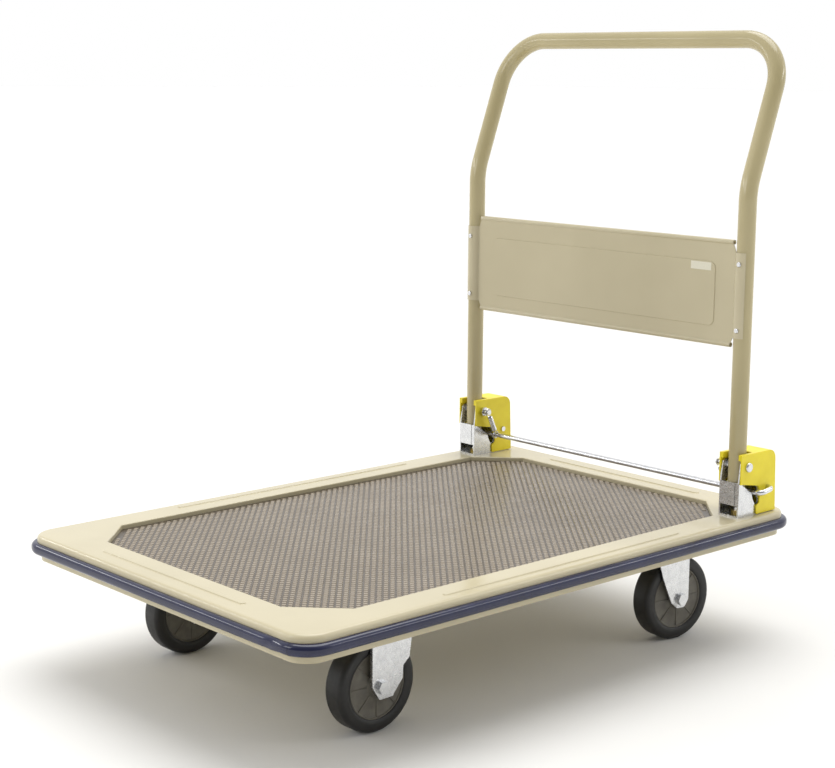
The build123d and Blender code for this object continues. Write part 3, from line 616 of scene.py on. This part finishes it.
def makePanel():
    # pressed sheet: rolled edges, a raised middle and tabs wrapped round the tubes
    s = panelShape
    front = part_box("panel_label")[0].x - s["embossRise"] * mm
    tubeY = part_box("handle_tube")[1].y - tubeShape["radius"] * mm
    wrap = (tubeShape["radius"] + s["sheet"] + s["tabGap"]) * mm
    half = tubeY - math.sqrt(wrap ** 2 - (front - pivotX) ** 2)
    cut = half - s["cut"] * mm
    low, high, tabLow, tabHigh = (s[key] * mm for key in ("low", "high", "tabLow", "tabHigh"))
    # the rolls stand a little proud of the sheet, which meets them below their middles
    meet = math.sqrt(s["roll"] ** 2 - s["rollBack"] ** 2) * mm
    right = [(half, tabLow), (half, tabHigh), (cut, high - meet)]
    left = [(-cut, high - meet), (-half, tabHigh), (-half, tabLow), (-cut, low + meet)]
    points = [(cut, low + meet)] + right + left
    bm = bmesh.new()
    border = drawLoop(bm, [Vector((front, y, z)) for y, z in points])
    middle = Vector((front, 0, (s["embossLow"] + s["embossHigh"]) / 2 * mm))
    ring = drawLoop(bm, embossOutline(middle, 0))
    bmesh.ops.triangle_fill(bm, use_beauty=True, edges=border + ring)
    for inward, rise in s["embossSteps"]:
        ring = edgesOf(bmesh.ops.extrude_edge_only(bm, edges=ring)["geom"])
        places = embossOutline(middle, inward)
        for vert in {v for edge in ring for v in edge.verts}:
            spot = min(places, key=lambda place: (place - vert.co).length)
            vert.co = Vector((front + rise * mm, spot.y, spot.z))
    closeLoop(bm, ring)
    for height, sign in ((low, -1), (high, 1)):
        lips = [e for e in bm.edges if all(abs(v.co.z - height + sign * meet) < 0.01 * mm for v in e.verts)]
        centre = (front - s["rollBack"] * mm, 0, height)
        turnOn(bm, lips, centre, (0, -sign, 0), s["rollTurn"], s["rollSteps"])
    for sign in (1, -1):
        ends = [e for e in bm.edges if all(abs(v.co.y - sign * half) < 0.01 * mm for v in e.verts)
                and abs(e.verts[0].co.z - e.verts[1].co.z) > 50 * mm]
        turnOn(bm, ends, (pivotX, sign * tubeY, 0), (0, 0, sign), s["wrapTurn"], s["wrapSteps"])
    piece = finishPiece(bm, "panel_sheet", sheetEnamel, "handle", ["handle_panel"],
                        facing=Vector((1, 0, 0)), sharp=30)
    thicken(piece, s["sheet"])


def embossOutline(middle, inward, steps=6):
    # the raised middle's rounded outline, drawn inward by a few tenths of a millimetre
    s = panelShape
    corner = (s["embossCorner"] - inward) * mm
    halfY = (s["embossHalf"] - inward) * mm - corner
    halfZ = ((s["embossHigh"] - s["embossLow"]) / 2 - inward) * mm - corner
    places = []
    for signY, signZ, start in ((1, 1, 0), (-1, 1, 90), (-1, -1, 180), (1, -1, 270)):
        for step in range(steps + 1):
            angle = math.radians(start + 90 * step / steps)
            places.append(middle + Vector((0, signY * halfY + corner * math.cos(angle),
                                           signZ * halfZ + corner * math.sin(angle))))
    return places


def lathe(bm, points, segments):
    # turns a profile of radius and width about the wheel's axis
    ring = [bm.verts.new((radius * mm, width * mm, 0)) for radius, width in points]
    edges = [bm.edges.new(pair) for pair in zip(ring, ring[1:] + ring[:1])]
    bmesh.ops.spin(bm, geom=ring + edges, cent=(0, 0, 0), axis=(0, 1, 0), angle=2 * math.pi,
                   steps=segments, use_merge=True, use_duplicate=False)


def arcPoints(radius, width, size, start, steps=6):
    # a rounded corner of the profile
    angles = [math.radians(start + 90 * step / steps) for step in range(steps + 1)]
    return [(radius + size * math.cos(angle), width + size * math.sin(angle)) for angle in angles]


tyreShape = {"inner": 43.8, "halfWidth": 16, "shoulder": 7, "bead": 46.5, "beadDrop": 0.9, "segments": 96}
hubShape = {"outer": 43.6, "bore": 9, "boss": 14, "bossHalf": 17.5, "dishHalf": 12.6, "lipHalf": 14.2,
            "lipInner": 41.5, "ribs": 8, "ribWidth": 1.6, "ribRise": 0.6, "ribEdge": 0.35,
            "segments": 96}
casterTurn = -7  # both rear casters stand turned by this much, in degrees


def makeTyre(end, name, turn):
    s = tyreShape
    low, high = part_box("tyre_front_left")
    outer = (high.z - low.z) / 2 / mm
    half, shoulder = s["halfWidth"], s["shoulder"]
    side = [(s["inner"], half - 1.6), (s["inner"] + 0.8, half - s["beadDrop"]), (s["bead"], half - 0.5),
            (s["bead"] + 1.2, half - 0.1), (s["bead"] + 2.4, half)]
    crown = list(reversed(arcPoints(outer - shoulder, half - shoulder, shoulder, 0, 8)))
    upper = side + crown
    profile = upper + [(radius, -width) for radius, width in reversed(upper)]
    bm = bmesh.new()
    lathe(bm, profile, s["segments"])
    placeWheel(bm, f"tyre_{end}_{name}", turn)
    finishPiece(bm, f"tyre_body_{end}_{name}", tyreRubber, f"wheel_{end}_{name}",
                [f"tyre_{end}_{name}"])


def makeHub(end, name, turn):
    s = hubShape
    upper = [(s["bore"], s["bossHalf"] - 0.6), (s["bore"] + 0.6, s["bossHalf"]), (s["boss"] - 1, s["bossHalf"]),
             (s["boss"], s["bossHalf"] - 1), (s["boss"] + 0.8, s["dishHalf"] + 1.2),
             (s["boss"] + 2.4, s["dishHalf"]),
             (s["lipInner"] - 2, s["dishHalf"] - 0.5), (s["lipInner"] - 0.6, s["dishHalf"]),
             (s["lipInner"], s["lipHalf"] - 0.5), (s["lipInner"] + 0.6, s["lipHalf"]),
             (s["outer"] - 0.5, s["lipHalf"]), (s["outer"], s["lipHalf"] - 0.6)]
    bm = bmesh.new()
    lathe(bm, upper + [(radius, -width) for radius, width in reversed(upper)], s["segments"])
    length = s["lipInner"] - s["boss"] - 1
    for index in range(s["ribs"]):
        around = Matrix.Rotation(2 * math.pi * index / s["ribs"], 4, "Y")
        place = around @ Matrix.Translation(((s["boss"] + s["lipInner"]) / 2 * mm, 0, 0))
        size = Matrix.Diagonal((length * mm, 2 * (s["dishHalf"] + s["ribRise"]) * mm, s["ribWidth"] * mm, 1))
        rib = bmesh.ops.create_cube(bm, size=1, matrix=place @ size)["verts"]
        ribEdges = list({edge for vert in rib for edge in vert.link_edges})
        bmesh.ops.bevel(bm, geom=ribEdges, offset=s["ribEdge"] * mm, offset_type="OFFSET", affect="EDGES",
                        segments=2, profile=0.5, material=-1)
    placeWheel(bm, f"hub_{end}_{name}", turn)
    finishPiece(bm, f"hub_disc_{end}_{name}", hubPlastic, f"wheel_{end}_{name}",
                [f"hub_{end}_{name}"])


def placeWheel(bm, node, turn):
    low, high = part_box(node)
    place = Matrix.Translation((low + high) / 2) @ Matrix.Rotation(math.radians(turn), 4, "Z")
    bmesh.ops.transform(bm, matrix=place, verts=bm.verts)


def makeWheels():
    for name in sides:
        for end, turn in (("front", 0), ("rear", casterTurn)):
            makeTyre(end, name, turn)
            makeHub(end, name, turn)


springShape = {"wire": 0.85, "coil": 3.3, "turns": 17, "stepsPerTurn": 16, "hookLength": 9,
               "postHook": 5.4, "rodHook": 5.2, "hookTurn": 330, "hookSteps": 22, "wireSides": 8}


def makeSpring(name):
    # a closed coil between two hooks, from the bolt's grooved end down to the rod
    s = springShape
    low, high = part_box("release_spring_" + name)
    y = (low.y + high.y) / 2
    top = Vector((pivotX, y, pivotZ))
    bottom = Vector((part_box("release_bar")[1].x - barShape["radius"] * mm, y, barZ))
    along = (bottom - top).normalized()
    start, end = top + along * s["hookLength"] * mm, bottom - along * s["hookLength"] * mm
    bm = bmesh.new()
    across = along.cross(yAxis).normalized()
    wire = bmesh.ops.create_circle(bm, segments=s["wireSides"], radius=s["wire"] * mm, cap_ends=True)["verts"]
    facing = Matrix((across, along, across.cross(along))).transposed().to_4x4()
    bmesh.ops.transform(bm, matrix=Matrix.Translation(start + across * s["coil"] * mm) @ facing, verts=wire)
    steps = s["turns"] * s["stepsPerTurn"]
    bmesh.ops.spin(bm, geom=list(bm.faces), cent=start, axis=along, angle=2 * math.pi * s["turns"], steps=steps,
                   dvec=along * ((end - start).length / steps), use_duplicate=False)
    addHook(bm, top, along, s["postHook"] * mm)
    addHook(bm, bottom, -along, s["rodHook"] * mm)
    spring = finishPiece(bm, "coil_spring_" + name, chrome, None, ["release_spring_" + name])
    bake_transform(spring)


def addHook(bm, centre, along, radius):
    # a near full loop of wire round the post or the rod
    s = springShape
    across = along.cross(yAxis).normalized()
    ring = bmesh.ops.create_circle(bm, segments=s["wireSides"], radius=s["wire"] * mm, cap_ends=False)["verts"]
    facing = Matrix((along, across.cross(along), across)).transposed().to_4x4()
    bmesh.ops.transform(bm, matrix=Matrix.Translation(centre + along * radius) @ facing, verts=ring)
    edges = list({edge for vert in ring for edge in vert.link_edges})
    closeLoop(bm, edges)
    closeLoop(bm, turnOn(bm, edges, centre, yAxis, s["hookTurn"], s["hookSteps"]))


def makeBar():
    # one bright rod; both ends turn back along the covers and in to their pivots
    s = barShape
    low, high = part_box("release_bar")
    radius, bend = s["radius"] * mm, s["bend"] * mm
    front = Vector((high.x - radius, 0, barZ))
    back = Vector((low.x + radius, 0, high.z - radius))
    reach = high.y - radius
    inward = (back - front).normalized()
    bm = bmesh.new()
    ring = bmesh.ops.create_circle(bm, segments=s["sides"], radius=radius, cap_ends=False)["verts"]
    bmesh.ops.transform(bm, matrix=Matrix.Translation(front) @ Matrix.Rotation(math.pi / 2, 4, "X"), verts=ring)
    edges = list({edge for vert in ring for edge in vert.link_edges})
    edges = runOn(bm, edges, (0, reach - bend, 0), 8)
    corner = front + yAxis * (reach - bend) + inward * bend
    edges = turnOn(bm, edges, corner, yAxis.cross(inward), 90, s["bendSteps"])
    edges = runOn(bm, edges, inward * ((back - front).length - 2 * bend), 2)
    corner = back + yAxis * (reach - bend) - inward * bend
    edges = turnOn(bm, edges, corner, yAxis.cross(inward), 90, s["bendSteps"])
    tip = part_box("hinge_cover_left")[0].y - s["tipGap"] * mm
    edges = runOn(bm, edges, (0, tip - (reach - bend), 0), 3)
    closeLoop(bm, edges)
    bmesh.ops.mirror(bm, geom=bm.verts[:] + bm.edges[:] + bm.faces[:], matrix=Matrix.Identity(4),
                     merge_dist=0.01 * mm, axis="Y")
    finishPiece(bm, "pressed_bar", chrome, "release", ["release_bar"], sharp=50)


easedEdges = {"hinge_cover": 0.9, "hinge_bracket": 0.5, "rigid_fork": 0.6, "swivel_fork": 0.6}


def easeEdges():
    # the folded and moulded parts keep their CAD shape, with their edges eased
    for stem, width in easedEdges.items():
        for name in sides:
            node = nodes[f"{stem}_{name}"]
            weld = node.modifiers.new("weld", "WELD")
            weld.merge_threshold = 0.01 * mm
            ease = node.modifiers.new("ease", "BEVEL")
            ease.width = width * mm
            ease.segments = 2
            ease.limit_method = "ANGLE"
            ease.angle_limit = math.radians(40)


makeDeck()
print("deck made")
makeMat()
print("mat made")
makeBumper()
print("bumper made")
makeHandle()
makePanel()
print("handle made")
makeWheels()
print("wheels made")
for name in sides:
    makeSpring(name)
makeBar()
easeEdges()
print("springs and bar made")


stageSettings = {"floor": "#E6E5E2", "floorShade": "#E2E1DE", "floorSize": 60.0, "sky": 1.0, "behindCamera": 0.3,
                 "sun": 1.8, "sunAngle": 50, "front": (1.2, 14),
                 "strip": (1.8, 0.16, 9)}


def makeStage():
    s = stageSettings
    material, tree, shader, place = startMaterial("pale_studio_paper", **{"Roughness": 0.9})
    tree.links.new(addRamp(tree, addNoise(tree, place, 500, 3),
                           [(0.3, linear(s["floorShade"])), (0.7, linear(s["floor"]))]),
                   shader.inputs["Base Color"])
    bm = bmesh.new()
    bmesh.ops.create_grid(bm, x_segments=1, y_segments=1, size=s["floorSize"])
    mesh = bpy.data.meshes.new("studio_floor")
    bm.to_mesh(mesh)
    bm.free()
    mesh.materials.append(material)
    floor = bpy.data.objects.new("studio_floor", mesh)
    bpy.context.scene.collection.objects.link(floor)


def addLamp(name, kind, place, target, power, size=1.0, height=None):
    lamp = bpy.data.lights.new(name, kind)
    lamp.energy = power
    if kind == "AREA":
        lamp.shape = "RECTANGLE"
        lamp.size = size
        lamp.size_y = height or size
    else:
        lamp.angle = math.radians(stageSettings["sunAngle"])
    holder = bpy.data.objects.new(name, lamp)
    holder.location = place
    holder.rotation_euler = (Vector(target) - Vector(place)).to_track_quat("-Z", "Y").to_euler()
    bpy.context.scene.collection.objects.link(holder)


cameraSettings = {"place": (1.5851, 1.7356, 0.7974), "heading": -132.22, "tilt": -10.23,
                  "roll": 0.44, "lens": 75.1, "sensor": 36.0}


def makeCamera():
    s = cameraSettings
    heading, tilt, roll = (math.radians(s[key]) for key in ("heading", "tilt", "roll"))
    forward = Vector((math.cos(heading) * math.cos(tilt), math.sin(heading) * math.cos(tilt), math.sin(tilt)))
    right = Vector((math.sin(heading), -math.cos(heading), 0))
    up = right.cross(forward)
    rolledRight = right * math.cos(roll) + up * math.sin(roll)
    rolledUp = up * math.cos(roll) - right * math.sin(roll)
    camera = bpy.data.cameras.new("camera")
    camera.lens = s["lens"]
    camera.sensor_fit = "HORIZONTAL"
    camera.sensor_width = s["sensor"]
    camera.clip_start = 0.05
    camera.clip_end = 200
    holder = bpy.data.objects.new("camera", camera)
    turned = Matrix((rolledRight, rolledUp, -forward)).transposed().to_4x4()
    holder.matrix_world = Matrix.Translation(s["place"]) @ turned
    bpy.context.scene.collection.objects.link(holder)
    bpy.context.scene.camera = holder


def makeLight():
    # a white studio, darker on the side the camera stands
    s = stageSettings
    world = bpy.data.worlds.new("studio")
    world.use_nodes = True
    tree = world.node_tree
    background = tree.nodes["Background"]
    around = addNode(tree, "ShaderNodeTexCoord").outputs["Generated"]
    heading = math.radians(cameraSettings["heading"])
    toward = addNode(tree, "ShaderNodeVectorMath", links={0: around}, operation="DOT_PRODUCT")
    toward.inputs[1].default_value = (-math.cos(heading), -math.sin(heading), 0)
    dim, full = s["behindCamera"], s["sky"]
    shade = addRamp(tree, toward.outputs["Value"], [(0.0, full), (0.75, dim)])
    tree.links.new(shade, background.inputs["Color"])
    bpy.context.scene.world = world
    addLamp("overhead", "SUN", (-0.9, -0.5, 3.0), (0, 0, 0), s["sun"])
    addLamp("front", "AREA", (2.6, -0.6, 1.6), (0, 0, 0.2), s["front"][1], s["front"][0])
    # long strips draw the bright lines along the bumper's front and left sides
    length, height, power = s["strip"]
    addLamp("strip_front", "AREA", (1.6, -2.3, 1.5), (0.4, 0, 0.2), power, length, height)
    addLamp("strip_left", "AREA", (-2.1, 1.9, 1.7), (0, 0.3, 0.2), power, length, height)
    bpy.context.scene.view_settings.view_transform = "Standard"


makeStage()
makeLight()
makeCamera()
